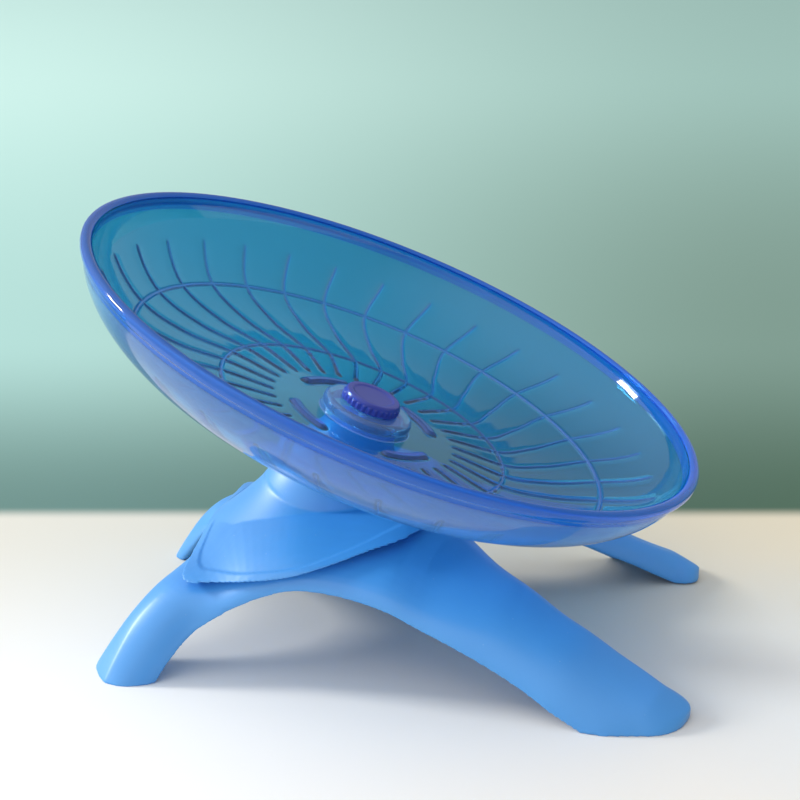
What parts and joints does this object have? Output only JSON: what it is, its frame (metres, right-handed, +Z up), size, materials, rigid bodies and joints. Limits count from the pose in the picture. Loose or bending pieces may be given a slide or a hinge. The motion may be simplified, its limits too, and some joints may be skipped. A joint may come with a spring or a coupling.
{
  "type": "hamster flying saucer wheel",
  "caption": "Tilted saucer wheel for a hamster: a clear blue dish with swirled ridges turns on a ball bearing over a flared column on an arched base with splayed legs.",
  "frame": {"origin": "on the table, under the middle of the object's bounding box", "axes": "+Z up, +X towards the low side of the dish, +Y across between the left and right legs"},
  "size_m": [0.168, 0.18, 0.1181],
  "materials": {
    "dish_plastic": "clear blue polystyrene, polished",
    "cap_plastic": "dark blue, glossy",
    "base_plastic": "opaque light blue, satin gloss",
    "bearing_steel": "ground",
    "screw_steel": "zinc plated",
    "cage_plastic": "natural nylon"
  },
  "bodies": {
    "base": {"leg_frame": "base_plastic", "top_cover": "base_plastic", "bearing_inner_ring": "bearing_steel", "axle_screw": "screw_steel", "cover_screw_1": "screw_steel", "cover_screw_2": "screw_steel", "cover_screw_3": "screw_steel", "cover_screw_4": "screw_steel"},
    "dish": {"running_dish": "dish_plastic", "hub_cap": "cap_plastic", "bearing_outer_ring": "bearing_steel", "bearing_shield_top": "bearing_steel", "bearing_shield_bottom": "bearing_steel"},
    "cage": {"bearing_cage": "cage_plastic", "bearing_ball_1": "bearing_steel", "bearing_ball_2": "bearing_steel", "bearing_ball_3": "bearing_steel", "bearing_ball_4": "bearing_steel", "bearing_ball_5": "bearing_steel", "bearing_ball_6": "bearing_steel", "bearing_ball_7": "bearing_steel"}
  },
  "joints": [
    {"name": "dish_spin", "type": "hinge", "parent": "base", "child": "dish", "pos_m": [-0.00005, 0, 0.0845], "axis": [0.3786, 0, 0.9255], "continuous": true},
    {"name": "cage_orbit", "type": "hinge", "parent": "base", "child": "cage", "pos_m": [-0.00005, 0, 0.0845], "axis": [0.3786, 0, 0.9255], "continuous": true}
  ],
  "couplings": [
    {"joint": "cage_orbit", "follows": "dish_spin", "ratio": 0.6067}
  ]
}
